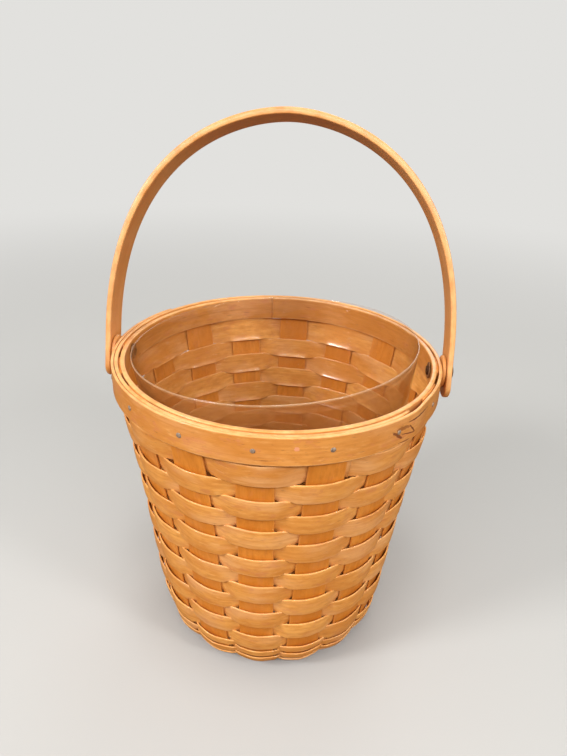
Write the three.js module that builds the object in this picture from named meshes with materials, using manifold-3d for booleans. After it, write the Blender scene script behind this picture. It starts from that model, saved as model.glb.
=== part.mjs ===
// Woven splint basket with a swing handle and a loose clear liner.
// Millimetres, +Z up. The origin is the middle of the base, on the surface the basket stands on.
// The handle's hinge line runs along X and the front of the basket faces -Y.
import * as THREE from 'three';
import { mergeVertices } from 'three/addons/utils/BufferGeometryUtils.js';
import Module from 'manifold-3d';

const wasm = await Module();
wasm.setup();

const degrees = Math.PI / 180;

// Gaps between pieces
const clearance = 0.3;
const edgeMargin = 0.5;

// Splints
const stakeWidth = 22.2;
const stakeThickness = 1.0;
const weaverThickness = 1.0;
const weaverBulge = 0.9;

// Stakes: each splint crosses under the base and stands up as two opposite stakes
const stakeSplints = 8;
const stakeTurn = -2.1 * degrees;
const waistWidth = 6.4;
const waistHalfLength = 18;
const waistEnd = 34;
const stakeTopDrop = 0.5;

// Basket body
const rimHeight = 211;
const rimRadius = 102.9;
const rimUpright = 20;
const shoulderSlope = 11.4 * degrees;
const shoulderReach = 80;
const heelSlope = 17 * degrees;
const heelReach = 30;
const heelRadius = 17;
const baseRadius = 61.6;

// Rows of weaving
const sideRows = 13;
const firstRowHeight = 16.2;
const heelRows = 8;
const heelRowShare = 0.35;
const baseRows = 4;

// Rim bands
const bandHeight = 17.5;
const innerBandThickness = 2.4;
const outerBandThickness = 1.8;
const innerBandSeam = 98 * degrees;
const outerBandTip = 145 * degrees;
const outerBandOverlap = 174 * degrees;
const outerBandTipRise = 0.6;
const outerBandTailDrop = 2.2;
const bandFacets = 60;

// Tacks
const tackShankRadius = 0.7;
const tackHeadRadius = 1.7;
const tackCrownRadius = 1.1;
const tackHeadHeight = 0.7;
const tackPointShort = 0.4;

// Handle and its hinges
const handleWidth = 23;
const handleThickness = 4.2;
const handleEndThickness = 3.4;
const handleLean = 17.8 * degrees;
const handleHeight = 156;
const handleStraight = 14;
const handleSideReach = 121;
const handleTopReach = 80;
const handleEndDrop = 17;
const handleEndRound = 8;
const hingeRise = 1.2;
const rivetRadius = 2.0;
const rivetHeadRadius = 5.2;
const rivetHeadHeight = 2.2;
const rivetTipRadius = 3.2;
const rivetTipHeight = 1.0;
const washerRadius = 5.4;
const washerThickness = 0.8;
const spacerRadius = 10.5;
const spacerThickness = 2.2;

// Liner
const linerRimGap = 9.1;
const linerFootSpread = 1.0;
const linerWall = 1.0;
const linerFillet = 10;
const linerRise = 6;
const linerLean = 4.3 * degrees;
const linerLeanToward = 153 * degrees;
const linerShift = 3.6;

// How finely round shapes are cut
const handleSteps = 28;
const linerSides = 48;
const rivetSides = 20;
const tackSides = 8;

// Values that follow from the ones above
const stakeCount = 2 * stakeSplints;
const stakePitch = 2 * Math.PI / stakeCount;
const stackPitch = stakeThickness + clearance;
const weaveOffset = (stakeThickness + weaverThickness) / 2 + clearance;
const baseMiddle = weaverThickness + clearance + stakeThickness / 2;
const bandMiddle = rimHeight - bandHeight / 2;
const hingeHeight = bandMiddle + hingeRise;
const innerBandOuter = rimRadius - stakeThickness / 2 - clearance;
const innerBandInner = innerBandOuter - innerBandThickness;
const outerBandInner = Math.hypot(rimRadius + stakeThickness / 2, stakeWidth / 2) + clearance;
const outerBandLayer = outerBandThickness + clearance;
const outerBandSweep = 2 * Math.PI + outerBandOverlap;
const bandStep = 2 * Math.PI / bandFacets;
const rivetHole = rivetRadius + clearance;
const tackHole = tackShankRadius + clearance;
const linerRadius = rimRadius - linerRimGap;
const linerFootRadius = baseRadius + linerFootSpread;

// The middle line of the wall, as radius and height, from the centre of the base to the rim
function wallLine() {
  const heelCentre = new THREE.Vector2(baseRadius, baseMiddle + heelRadius);
  const heelTop = heelCentre.clone();
  heelTop.x += heelRadius * Math.cos(heelSlope);
  heelTop.y -= heelRadius * Math.sin(heelSlope);
  const shoulder = new THREE.Vector2(rimRadius, rimHeight - rimUpright);
  const aboveHeel = heelTop.clone();
  aboveHeel.x += heelReach * Math.sin(heelSlope);
  aboveHeel.y += heelReach * Math.cos(heelSlope);
  const belowShoulder = shoulder.clone();
  belowShoulder.x -= shoulderReach * Math.sin(shoulderSlope);
  belowShoulder.y -= shoulderReach * Math.cos(shoulderSlope);
  const line = new THREE.CurvePath();
  line.add(new THREE.LineCurve(new THREE.Vector2(0, baseMiddle), new THREE.Vector2(baseRadius, baseMiddle)));
  line.add(new THREE.EllipseCurve(heelCentre.x, heelCentre.y, heelRadius, heelRadius, -Math.PI / 2, -heelSlope));
  line.add(new THREE.CubicBezierCurve(heelTop, aboveHeel, belowShoulder, shoulder));
  line.add(new THREE.LineCurve(shoulder, new THREE.Vector2(rimRadius, rimHeight)));
  return line;
}

const wall = wallLine();
const [baseEdgeAt, heelTopAt, , rimAt] = wall.getCurveLengths();

// The wall's point at a distance along that line, moved outward by an offset
function wallPoint(along, offset) {
  const share = THREE.MathUtils.clamp(along / rimAt, 0, 1);
  const point = wall.getPoint(share);
  const tangent = wall.getTangent(share);
  return { radius: point.x + offset * tangent.y, height: point.y - offset * tangent.x };
}

// The splints are narrow at the middle of the base and at full width from the heel up
function stakeWidthAt(along) {
  const share = THREE.MathUtils.clamp((along - waistHalfLength) / (heelTopAt - waistHalfLength), 0, 1);
  return THREE.MathUtils.lerp(waistWidth, stakeWidth, share);
}

function stakeAngle(stake) {
  return -Math.PI / 2 + stakeTurn + stake * stakePitch;
}

// A point in front of a stake: outward from the basket's axis, sideways along the wall, and up
function atStake(stake, outward, sideways, height) {
  const angle = stakeAngle(stake);
  return new THREE.Vector3(
    outward * Math.cos(angle) - sideways * Math.sin(angle),
    outward * Math.sin(angle) + sideways * Math.cos(angle),
    height,
  );
}

// The rows of weaving from the rim down to the base, each between two distances along the wall
function weavingRows() {
  const rows = [];
  const firstTop = rimAt - rimUpright;
  const sideTop = firstTop - firstRowHeight;
  const rowPitch = (sideTop - baseEdgeAt) / (sideRows - 1 + heelRows * heelRowShare);
  const sideBottom = sideTop - rowPitch * (sideRows - 1);
  rows.push({ low: sideTop, high: firstTop, bulge: weaverBulge });
  for (let row = 1; row < sideRows; row += 1) {
    const high = sideTop - rowPitch * (row - 1);
    rows.push({ low: high - rowPitch, high, bulge: weaverBulge });
  }
  const heelPitch = rowPitch * heelRowShare;
  for (let row = 0; row < heelRows; row += 1) {
    const high = sideBottom - heelPitch * row;
    rows.push({ low: high - heelPitch, high, bulge: 0 });
  }
  const basePitch = (baseEdgeAt - waistEnd) / baseRows;
  for (let row = 0; row < baseRows; row += 1) {
    const high = baseEdgeAt - basePitch * row;
    rows.push({ low: high - basePitch, high, bulge: 0 });
  }
  return rows;
}

// A closed strip, placed by a rule that turns a step along it, a share across it and a share
// through its thickness into a point. The shares run from -0.5 to 0.5.
function strip(steps, place) {
  const box = new THREE.BoxGeometry(1, 1, 1, steps, 1, 1);
  const position = box.getAttribute('position');
  const corner = new THREE.Vector3();
  for (let index = 0; index < position.count; index += 1) {
    corner.fromBufferAttribute(position, index);
    const point = place(Math.round((corner.x + 0.5) * steps), corner.y, corner.z);
    position.setXYZ(index, point.x, point.y, point.z);
  }
  return plain(box);
}

// The same shape with nothing but joined positions
function plain(geometry) {
  geometry.deleteAttribute('normal');
  geometry.deleteAttribute('uv');
  return mergeVertices(geometry);
}

function toSolid(geometry) {
  return new wasm.Manifold(new wasm.Mesh({
    numProp: 3,
    vertProperties: new Float32Array(geometry.getAttribute('position').array),
    triVerts: new Uint32Array(geometry.index.array),
  }));
}

function drilled(geometry, drills) {
  let solid = toSolid(geometry);
  for (const drill of drills) {
    solid = solid.subtract(toSolid(drill));
  }
  const mesh = solid.getMesh();
  const result = new THREE.BufferGeometry();
  result.setAttribute('position', new THREE.BufferAttribute(mesh.vertProperties, 3));
  result.setIndex(new THREE.BufferAttribute(mesh.triVerts, 1));
  return result;
}

// A drill that runs outward from the basket's axis at an angle and a height
function radialDrill(radius, sides, angle, height) {
  const from = innerBandInner / 2;
  const to = outerBandInner + handleWidth * 2;
  const drill = new THREE.CylinderGeometry(radius, radius, to - from, sides);
  drill.rotateZ(-Math.PI / 2);
  drill.translate((from + to) / 2, 0, 0);
  drill.rotateZ(angle);
  drill.translate(0, 0, height);
  return plain(drill);
}

// The outer band: how far it is out and up at an angle, measured round from its outer tip
function outerBandPlace(round) {
  const onTop = THREE.MathUtils.clamp(1 - (round - outerBandOverlap) / (2 * bandStep), 0, 1);
  return {
    inner: outerBandInner + outerBandLayer * onTop,
    rise: THREE.MathUtils.lerp(outerBandTipRise, -outerBandTailDrop, round / outerBandSweep),
  };
}

// The outermost face of the outer band in a direction from the basket's axis
function outerBandFace(angle) {
  const round = THREE.MathUtils.euclideanModulo(angle - outerBandTip, 2 * Math.PI);
  return outerBandPlace(round).inner + outerBandThickness;
}

function onCircle(radius, angle, height) {
  return new THREE.Vector3(radius * Math.cos(angle), radius * Math.sin(angle), height);
}

// A turned piece, its profile given as points of radius and distance along the axis
function turned(profile, sides) {
  return plain(new THREE.LatheGeometry(profile.map(([x, y]) => new THREE.Vector2(x, y)), sides));
}

function turnedRing(innerRadius, outerRadius, low, high, sides) {
  const profile = [
    [innerRadius, low], [outerRadius, low], [outerRadius, high], [innerRadius, high], [innerRadius, low],
  ];
  return turned(profile, sides);
}

// Where each piece of a hinge sits, as distances out from the basket's axis
function hingeStack(angle) {
  const bandFacetDepth = innerBandInner * Math.cos(bandStep / 2);
  const washerSeat = Math.sqrt(bandFacetDepth ** 2 - washerRadius ** 2) - clearance;
  const spacerSeat = outerBandFace(angle) + clearance;
  const handleSeat = spacerSeat + spacerThickness + clearance;
  return {
    washerSeat,
    spacerSeat,
    handleSeat,
    tipSeat: washerSeat - washerThickness - clearance,
    headSeat: handleSeat + handleEndThickness + clearance,
  };
}

const hinges = [
  { side: 'right', angle: 0 },
  { side: 'left', angle: Math.PI },
].map((hinge) => ({ ...hinge, ...hingeStack(hinge.angle) }));
const [rightHinge, leftHinge] = hinges;

// A stake is under a hinge when its width covers the hinge line
function isHingeStake(stake) {
  return Math.abs(Math.sin(stakeAngle(stake))) * rimRadius < stakeWidth / 2;
}

function tackStakes() {
  const stakes = [];
  for (let stake = 0; stake < stakeCount; stake += 1) {
    if (!isHingeStake(stake)) {
      stakes.push(stake);
    }
  }
  return stakes;
}

const rivetDrills = hinges.map(({ angle }) => radialDrill(rivetHole, rivetSides, angle, hingeHeight));
const tackDrills = new Map(tackStakes().map((stake) => [
  stake, radialDrill(tackHole, tackSides, stakeAngle(stake), bandMiddle),
]));

const part = new THREE.Group();

function splintMaterial(color, roughness) {
  return new THREE.MeshStandardMaterial({ color, roughness, metalness: 0, flatShading: true });
}

function addPiece(name, geometry, material) {
  const mesh = new THREE.Mesh(geometry, material);
  mesh.name = name;
  part.add(mesh);
  return mesh;
}

const rows = weavingRows();

// One through splint, from one rim end under the base to the other
function stakeSplint(splint) {
  const places = [rimAt - stakeTopDrop];
  for (const { high, low } of rows) {
    places.push(high);
    if (low <= baseEdgeAt) {
      break;
    }
  }
  places.push(baseEdgeAt, waistEnd, waistHalfLength);
  const stations = [...places.map((along) => -along), ...places.reverse()];
  const stackHeight = stackPitch * splint + stakeThickness / 2;
  return strip(stations.length - 1, (step, across, through) => {
    const along = Math.abs(stations[step]);
    const { radius, height } = wallPoint(along, -through * stakeThickness);
    const lift = along <= waistHalfLength ? stackHeight - baseMiddle : 0;
    const sideways = across * stakeWidthAt(along);
    return atStake(splint, radius * Math.sign(stations[step]), sideways, height + lift);
  });
}

function addStakes() {
  for (let splint = 0; splint < stakeSplints; splint += 1) {
    const drills = [splint, splint + stakeSplints]
      .map((stake) => tackDrills.get(stake))
      .filter((drill) => drill);
    const geometry = drilled(stakeSplint(splint), drills.length > 0 ? drills : rivetDrills);
    addPiece(`stake_splint_${splint + 1}`, geometry, splintMaterial(0xd99a58, 0.6));
  }
}

// One row of weaving: a ring that passes outside one stake and inside the next, and whose ends
// meet behind a stake
function weaverRing(row, { low, high, bulge }) {
  const stations = [];
  for (let stake = row; stake <= row + stakeCount; stake += 1) {
    stations.push({ stake, side: -1 });
    if (bulge > 0) {
      stations.push({ stake, side: 0 });
    }
    stations.push({ stake, side: 1 });
  }
  stations.splice(0, stations.findIndex(({ side }) => side === 1), { stake: row, side: 0 });
  while (stations.at(-1).side !== -1) {
    stations.pop();
  }
  stations.push({ stake: row + stakeCount, side: 0 });
  const last = stations.length - 1;
  return strip(last, (step, across, through) => {
    const { stake, side } = stations[step];
    const outward = (stake - row) % 2 === 0 ? -1 : 1;
    const along = THREE.MathUtils.lerp(low + clearance / 2, high - clearance / 2, across + 0.5);
    const lift = side === 0 ? weaveOffset + bulge : weaveOffset;
    const { radius, height } = wallPoint(along, outward * lift + through * weaverThickness);
    const endGap = (step === 0) - (step === last);
    const sideways = side * (stakeWidthAt(along) / 2 + edgeMargin) + endGap * clearance / 2;
    return atStake(stake, radius, sideways, height);
  });
}

function addWeavers() {
  rows.forEach((row, index) => {
    const place = index < sideRows ? 'side' : index < sideRows + heelRows ? 'heel' : 'base';
    const first = { side: 0, heel: sideRows, base: sideRows + heelRows }[place];
    const number = index - first + 1;
    addPiece(`${place}_weaver_${number}`, weaverRing(index + 1, row), splintMaterial(0xefb473, 0.55));
  });
}

function addInnerBand() {
  const gapAngle = clearance / innerBandInner;
  const geometry = strip(bandFacets, (step, across, through) => {
    const round = THREE.MathUtils.lerp(gapAngle / 2, 2 * Math.PI - gapAngle / 2, step / bandFacets);
    const radius = innerBandOuter - innerBandThickness * (0.5 - through);
    return onCircle(radius, innerBandSeam + round, bandMiddle + across * bandHeight);
  });
  addPiece('inner_rim_band', drilled(geometry, [...rivetDrills, ...tackDrills.values()]),
    splintMaterial(0xe0a566, 0.55));
}

function addOuterBand() {
  const steps = Math.round(outerBandSweep / bandStep);
  const geometry = strip(steps, (step, across, through) => {
    const round = outerBandSweep * step / steps;
    const { inner, rise } = outerBandPlace(round);
    const radius = inner + outerBandThickness * (through + 0.5);
    return onCircle(radius, outerBandTip + round, bandMiddle + rise + across * bandHeight);
  });
  addPiece('outer_rim_band', drilled(geometry, [...rivetDrills, ...tackDrills.values()]),
    splintMaterial(0xf0b878, 0.5));
}

function addTacks() {
  tackStakes().forEach((stake, index) => {
    const angle = stakeAngle(stake);
    const headSeat = outerBandFace(angle) + clearance;
    const geometry = turned([
      [0, innerBandInner + tackPointShort],
      [tackShankRadius, innerBandInner + tackPointShort],
      [tackShankRadius, headSeat],
      [tackHeadRadius, headSeat],
      [tackCrownRadius, headSeat + tackHeadHeight],
      [0, headSeat + tackHeadHeight],
    ], tackSides);
    const steel = new THREE.MeshStandardMaterial({ color: 0x6f6a64, roughness: 0.5, metalness: 1 });
    const tack = addPiece(`rim_tack_${index + 1}`, geometry, steel);
    tack.rotation.set(0, 0, angle - Math.PI / 2);
    tack.position.z = bandMiddle;
  });
}

// The middle line of the handle in its own plane: across the basket, and up from the hinge line
function handleLine() {
  const left = -(leftHinge.handleSeat + handleEndThickness / 2);
  const right = rightHinge.handleSeat + handleEndThickness / 2;
  const middle = (left + right) / 2;
  const line = new THREE.CurvePath();
  line.add(new THREE.LineCurve(
    new THREE.Vector2(left, -handleEndDrop), new THREE.Vector2(left, handleStraight)));
  line.add(new THREE.CubicBezierCurve(
    new THREE.Vector2(left, handleStraight),
    new THREE.Vector2(left, handleStraight + handleSideReach),
    new THREE.Vector2(left + handleTopReach, handleHeight),
    new THREE.Vector2(middle, handleHeight)));
  line.add(new THREE.CubicBezierCurve(
    new THREE.Vector2(middle, handleHeight),
    new THREE.Vector2(right - handleTopReach, handleHeight),
    new THREE.Vector2(right, handleStraight + handleSideReach),
    new THREE.Vector2(right, handleStraight)));
  line.add(new THREE.LineCurve(
    new THREE.Vector2(right, handleStraight), new THREE.Vector2(right, -handleEndDrop)));
  return line;
}

// Stations along the handle: rounded ends, and even steps round the arch, which is thickest on top
function handleStations(length) {
  const roundTurns = [15, 32, 50, 70, 90].map((turn) => turn * degrees);
  const ends = roundTurns.map((turn) => ({
    along: handleEndRound * (1 - Math.cos(turn)),
    width: handleWidth * Math.sin(turn),
    thickness: handleEndThickness,
  }));
  const archStart = handleEndDrop + handleStraight;
  const arch = [];
  for (let step = 0; step <= handleSteps; step += 1) {
    const share = step / handleSteps;
    arch.push({
      along: THREE.MathUtils.lerp(archStart, length - archStart, share),
      width: handleWidth,
      thickness: THREE.MathUtils.lerp(handleEndThickness, handleThickness, Math.sin(Math.PI * share)),
    });
  }
  const otherEnds = ends.map((end) => ({ ...end, along: length - end.along })).reverse();
  return [...ends, ...arch, ...otherEnds];
}

function addHandle() {
  const line = handleLine();
  const length = line.getLength();
  const stations = handleStations(length);
  const geometry = strip(stations.length - 1, (step, across, through) => {
    const { along, width, thickness } = stations[step];
    const point = line.getPoint(along / length);
    const tangent = line.getTangent(along / length);
    const outward = through * thickness;
    return new THREE.Vector3(point.x - tangent.y * outward, across * width, point.y + tangent.x * outward);
  });
  const drills = hinges.map(({ angle }) => radialDrill(rivetHole, rivetSides, angle, 0));
  const handle = addPiece('handle', drilled(geometry, drills), splintMaterial(0xf2c48c, 0.45));
  handle.rotation.x = -handleLean;
  handle.position.z = hingeHeight;
}

function addHinges() {
  for (const { side, angle, washerSeat, spacerSeat, tipSeat, headSeat } of hinges) {
    const rivetProfile = [
      [0, tipSeat - rivetTipHeight],
      [rivetTipRadius * 0.7, tipSeat - rivetTipHeight],
      [rivetTipRadius, tipSeat - rivetTipHeight / 2],
      [rivetTipRadius, tipSeat],
      [rivetRadius, tipSeat],
      [rivetRadius, headSeat],
      [rivetHeadRadius, headSeat],
      [rivetHeadRadius, headSeat + rivetHeadHeight * 0.3],
      [rivetHeadRadius * 0.75, headSeat + rivetHeadHeight * 0.75],
      [0, headSeat + rivetHeadHeight],
    ];
    const washer = turnedRing(rivetHole, washerRadius, washerSeat - washerThickness, washerSeat, rivetSides);
    const spacer = turnedRing(rivetHole, spacerRadius, spacerSeat, spacerSeat + spacerThickness, rivetSides);
    const iron = new THREE.MeshStandardMaterial({ color: 0x4a3322, roughness: 0.45, metalness: 1 });
    const pieces = [
      addPiece(`${side}_handle_rivet`, turned(rivetProfile, rivetSides), iron),
      addPiece(`${side}_rivet_washer`, washer, iron.clone()),
      addPiece(`${side}_handle_spacer`, spacer, splintMaterial(0xdba268, 0.6)),
    ];
    for (const piece of pieces) {
      piece.rotation.z = angle - Math.PI / 2;
      piece.position.z = hingeHeight;
    }
  }
}

// How high above the base's middle a floor that leans with the liner clears the crossed splints
function linerSeatHeight() {
  let seatHeight = 0;
  for (let splint = 0; splint < stakeSplints; splint += 1) {
    const turn = linerLeanToward - stakeAngle(splint);
    const reach = waistHalfLength * Math.abs(Math.cos(turn)) + waistWidth / 2 * Math.abs(Math.sin(turn));
    const top = stackPitch * splint + stakeThickness;
    seatHeight = Math.max(seatHeight, top + reach * Math.tan(linerLean));
  }
  return seatHeight + clearance;
}

// The liner stands on the crossing of the splints, and leans
function addLiner() {
  const leanWay = onCircle(1, linerLeanToward, 0);
  const axis = leanWay.clone().multiplyScalar(Math.sin(linerLean));
  axis.z = Math.cos(linerLean);
  const mouth = leanWay.clone().multiplyScalar(linerShift);
  mouth.z = rimHeight + linerRise;
  const seat = new THREE.Vector3(0, 0, linerSeatHeight());
  const depth = mouth.clone().sub(seat).dot(axis);
  const slope = (linerRadius - linerFootRadius) / depth;
  const linerTaper = Math.atan(slope);
  const wallFoot = depth - linerFillet * (1 - Math.sin(linerTaper));
  const filletCentre = linerRadius - wallFoot * slope - linerFillet * Math.cos(linerTaper);
  const outerCorner = new THREE.EllipseCurve(filletCentre, linerFillet, linerFillet, linerFillet,
    -Math.PI / 2, -linerTaper);
  const innerFillet = linerFillet - linerWall;
  const innerCorner = new THREE.EllipseCurve(filletCentre, linerFillet, innerFillet, innerFillet,
    -Math.PI / 2, -linerTaper);
  const profile = [
    [0, 0],
    ...outerCorner.getPoints(4).map(({ x, y }) => [x, y]),
    [linerRadius, depth],
    [linerRadius - linerWall / Math.cos(linerTaper), depth],
    ...innerCorner.getPoints(4).reverse().map(({ x, y }) => [x, y]),
    [0, linerWall],
  ];
  const clear = new THREE.MeshStandardMaterial({
    color: 0xf4f4f2, roughness: 0.08, metalness: 0, transparent: true, opacity: 0.25,
  });
  const liner = addPiece('liner', turned(profile, linerSides), clear);
  liner.quaternion.setFromUnitVectors(new THREE.Vector3(0, 1, 0), axis);
  liner.position.copy(mouth).addScaledVector(axis, -depth);
}

addStakes();
addWeavers();
addInnerBand();
addOuterBand();
addTacks();
addHandle();
addHinges();
addLiner();

export default part;
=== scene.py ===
"""Woven splint basket with a swing handle and a clear liner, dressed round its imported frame."""
from math import atan, cos, pi, radians, sin, tan

import bpy
import numpy as np
from bpy.props import FloatProperty, FloatVectorProperty, PointerProperty
from bpy.types import Operator, Panel, PropertyGroup
from mathutils import Matrix, Vector


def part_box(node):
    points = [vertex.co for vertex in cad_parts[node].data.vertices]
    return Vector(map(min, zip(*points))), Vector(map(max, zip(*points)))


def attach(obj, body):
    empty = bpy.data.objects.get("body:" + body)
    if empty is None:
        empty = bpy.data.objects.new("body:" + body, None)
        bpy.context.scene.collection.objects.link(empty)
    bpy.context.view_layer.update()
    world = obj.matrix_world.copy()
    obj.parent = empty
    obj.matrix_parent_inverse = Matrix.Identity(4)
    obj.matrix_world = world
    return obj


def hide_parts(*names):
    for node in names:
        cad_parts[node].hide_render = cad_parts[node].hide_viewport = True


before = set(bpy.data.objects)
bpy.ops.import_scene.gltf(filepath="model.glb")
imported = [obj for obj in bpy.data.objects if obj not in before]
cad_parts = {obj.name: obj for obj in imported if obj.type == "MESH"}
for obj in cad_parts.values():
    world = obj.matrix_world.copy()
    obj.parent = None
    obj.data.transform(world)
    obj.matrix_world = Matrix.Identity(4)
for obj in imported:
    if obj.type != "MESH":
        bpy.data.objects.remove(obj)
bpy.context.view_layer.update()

bl_info = {
    "name": "Woven splint basket",
    "version": (1, 0, 0),
    "blender": (4, 5, 0),
    "location": "View3D > Sidebar > Basket",
    "description": "Dresses a round splint basket: stakes, weavers, rim, handle, hinges and liner",
    "category": "Object",
}

# Counts of the weave, from the rim down
STAKES = 16
SPLINTS = STAKES // 2
SIDE_ROWS = 13
HEEL_ROWS = 8
BASE_ROWS = 4
HEEL_ROW_SHARE = 0.35

# Turns round the basket's axis
STAKE_PITCH = 2 * pi / STAKES
STAKE_TURN = radians(-2.1)
INNER_SEAM = radians(98)
OUTER_TIP = radians(145)
OUTER_OVERLAP = radians(174)
OUTER_STEP = radians(12)
HANDLE_LEAN = radians(17.8)
LINER_LEAN = radians(4.3)
LINER_LEAN_TOWARD = radians(153)

# The rim and the hinge line are where the frame has them
RIM_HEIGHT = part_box("inner_rim_band")[1].z
BAND_HEIGHT = RIM_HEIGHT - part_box("inner_rim_band")[0].z
BAND_MIDDLE = RIM_HEIGHT - BAND_HEIGHT / 2
HINGE_HEIGHT = sum(corner.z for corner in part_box("right_handle_rivet")) / 2
OUTER_BAND_RISE = 0.0006
OUTER_BAND_DROP = 0.0022

# A turned point this near the axis lies on it
AXIS_REACH = 1e-7

# How strongly the lacquer and the clear plastic bend light
WOOD_IOR = 1.45
PLASTIC_IOR = 1.46

# The picture that the camera's place and angles were fitted to
PICTURE_WIDTH = 567
FOCAL_PIXELS = 633.5
SENSOR_WIDTH = 36
CAMERA_PLACE = (0.0286, -0.3809, 0.3853)
CAMERA_YAW = radians(-3.77)
CAMERA_PITCH = radians(27.03)
CAMERA_ROLL = radians(2.13)


def length(name, description, default):
    """A size in metres that a user can change."""
    return FloatProperty(
        name=name, description=description, default=default, min=0,
        unit="LENGTH", subtype="DISTANCE", precision=5,
    )


def colour(name, description, red, green, blue):
    """A colour that a user can change, given as it looks on a screen, from 0 to 255."""
    default = tuple(from_screen(value) for value in (red, green, blue))
    return FloatVectorProperty(
        name=name, description=description, default=default, size=3, min=0, max=1, subtype="COLOR"
    )


def from_screen(value):
    """One screen value from 0 to 255 as the linear value that the shaders work in."""
    share = value / 255
    return share / 12.92 if share <= 0.04045 else ((share + 0.055) / 1.055) ** 2.4


class BASKET_PG_shape(PropertyGroup):
    """The shape of the basket's wall, of its splints and of what sits on it."""
    base_radius: length("Base radius", "Flat part of the base", 0.0616)
    base_middle: length("Base level", "Middle of the splints in the base, above the floor", 0.0018)
    heel_radius: length("Heel radius", "Round between the base and the wall", 0.017)
    heel_reach: length("Heel reach", "How far the heel's slope carries up the wall", 0.030)
    shoulder_radius: length("Shoulder radius", "Middle of the stakes under the rim", 0.1031)
    shoulder_drop: length("Shoulder drop", "Straight part of the stakes, down from the rim", 0.020)
    shoulder_reach: length("Shoulder reach", "How far the shoulder's slope carries down the wall", 0.080)
    heel_slope: FloatProperty(name="Heel slope", description="Lean of the wall above the heel",
                              default=radians(17), subtype="ANGLE")
    shoulder_slope: FloatProperty(name="Shoulder slope", description="Lean of the wall under the rim",
                                  default=radians(11.4), subtype="ANGLE")
    waist_width: length("Waist width", "Width of a splint at the middle of the base", 0.0064)
    waist_half: length("Waist half length", "Straight part of the waist, from the middle", 0.018)
    waist_end: length("Waist end", "Where the crossed splints lie side by side", 0.034)
    stake_width: length("Stake width", "Width of a stake in the wall", 0.0222)
    stake_thickness: length("Stake thickness", "Thickness of a stake", 0.001)
    weaver_thickness: length("Weaver thickness", "Thickness of a weaver", 0.001)
    first_row: length("First row", "Height of the row under the rim", 0.0162)
    span_width: length("Span width", "Width of a weaver where it passes a stake", 0.0153)
    span_bulge: length("Span bulge", "How far a weaver bows out over a stake", 0.0013)
    span_bulge_inside: length("Inner span bulge", "How far a weaver bows in behind a stake", 0.0011)
    span_lip: length("Span lip", "How far the lower edge of a weaver stands in behind a stake", 0.0013)
    clearance: length("Clearance", "Gap between pieces that touch", 0.0003)
    unevenness: length("Unevenness", "How far hand work strays from true", 0.00045)
    inner_band_thickness: length("Inner band", "Thickness of the inner rim band", 0.00285)
    outer_band_thickness: length("Outer band", "Thickness of the outer rim band", 0.0018)
    under_layer_fill: length("Under layer", "How much thicker the outer band's under layer is", 0.0005)
    under_layer_lift: length("Under layer lift", "How much wider the band gets towards its tail", 0.0017)
    handle_width: length("Handle width", "Width of the handle", 0.023)
    handle_thickness: length("Handle thickness", "Thickness of the handle on top", 0.0042)
    handle_end_thickness: length("Handle end thickness", "Thickness of the handle at its ends", 0.0034)
    handle_height: length("Handle height", "Middle of the handle's top above the hinge line", 0.156)
    handle_straight: length("Handle straight", "Straight part of the sides above the hinge line", 0.014)
    handle_end: length("Handle end", "How far the handle reaches below the hinge line", 0.017)
    handle_end_round: length("Handle end round", "Round of the handle's ends", 0.008)
    handle_side_reach: length("Handle side reach", "How far the sides' direction carries up", 0.121)
    handle_top_reach: length("Handle top reach", "How far the top's direction carries across", 0.080)
    handle_rounding: length("Handle rounding", "Round of the handle's edges", 0.0009)
    liner_radius: length("Liner radius", "Outside of the liner's mouth", 0.0938)
    liner_foot: length("Liner foot", "Outside of the liner's floor, were its corner sharp", 0.0626)
    liner_wall: length("Liner wall", "Thickness of the liner", 0.001)
    liner_fillet: length("Liner fillet", "Round at the bottom of the liner", 0.010)
    liner_rise: length("Liner rise", "Middle of the liner's mouth above the rim", 0.006)
    liner_shift: length("Liner shift", "How far the liner's mouth stands off the middle", 0.0036)


class BASKET_PG_colours(PropertyGroup):
    """The colours of the basket's woods, metals and liner, and of the floor it stands on."""
    weaver_light: colour("Weaver light", "Pale wood of the weavers", 246, 180, 94)
    weaver_dark: colour("Weaver dark", "Darker wood of the weavers", 208, 130, 52)
    stake_light: colour("Stake light", "Pale wood of the stakes", 230, 148, 54)
    stake_dark: colour("Stake dark", "Darker wood of the stakes", 200, 118, 34)
    band_light: colour("Band light", "Pale wood of the rim bands", 222, 152, 74)
    band_dark: colour("Band dark", "Darker wood of the rim bands", 196, 122, 48)
    handle_light: colour("Handle light", "Pale wood of the handle", 214, 150, 80)
    handle_dark: colour("Handle dark", "Darker wood of the handle", 200, 126, 58)
    # The pale edge colour is partly real wear and partly a painted highlight where the splints' rounded edges
    # catch the light
    pale_wear_and_sheen: colour("Cut edge", "Worn edges of the splints, bands and handle", 246, 192, 124)
    blush: colour("Blush", "Paler, pinker wood that comes and goes along a strip", 240, 184, 128)
    stain: colour("Stain", "Faint pinkish stains in the wood", 206, 126, 84)
    knot: colour("Knot", "Knots, pores and cracks", 112, 52, 22)
    plug: colour("Plug", "Filled hole in the rim band", 232, 158, 122)
    rivet: colour("Rivet", "Aged metal of the rivets and washers", 92, 58, 34)
    washer: colour("Washer", "Dull, browned metal of the washers", 150, 104, 66)
    tack: colour("Tack", "Dull steel of the tacks", 176, 156, 138)
    # Painted light: the paler lip stands for the bright line that light makes in the clear bead
    liner_lip_light_line: colour("Liner lip", "Milky lip of the liner", 200, 158, 118)
    # Painted reflection: this brown stands for the wood reflected in the clear liner, over a real haze of
    # scuffs
    liner: colour("Liner", "Haze on the scuffed outside of the clear liner", 150, 88, 44)
    floor: colour("Floor", "Plain floor and background", 226, 225, 222)
    floor_near: colour("Near floor", "Floor in the lamps' light, as pale as the background", 180, 179, 176)
    floor_bounce: colour("Floor bounce", "Colour that the floor throws onto the basket", 122, 94, 70)


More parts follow.
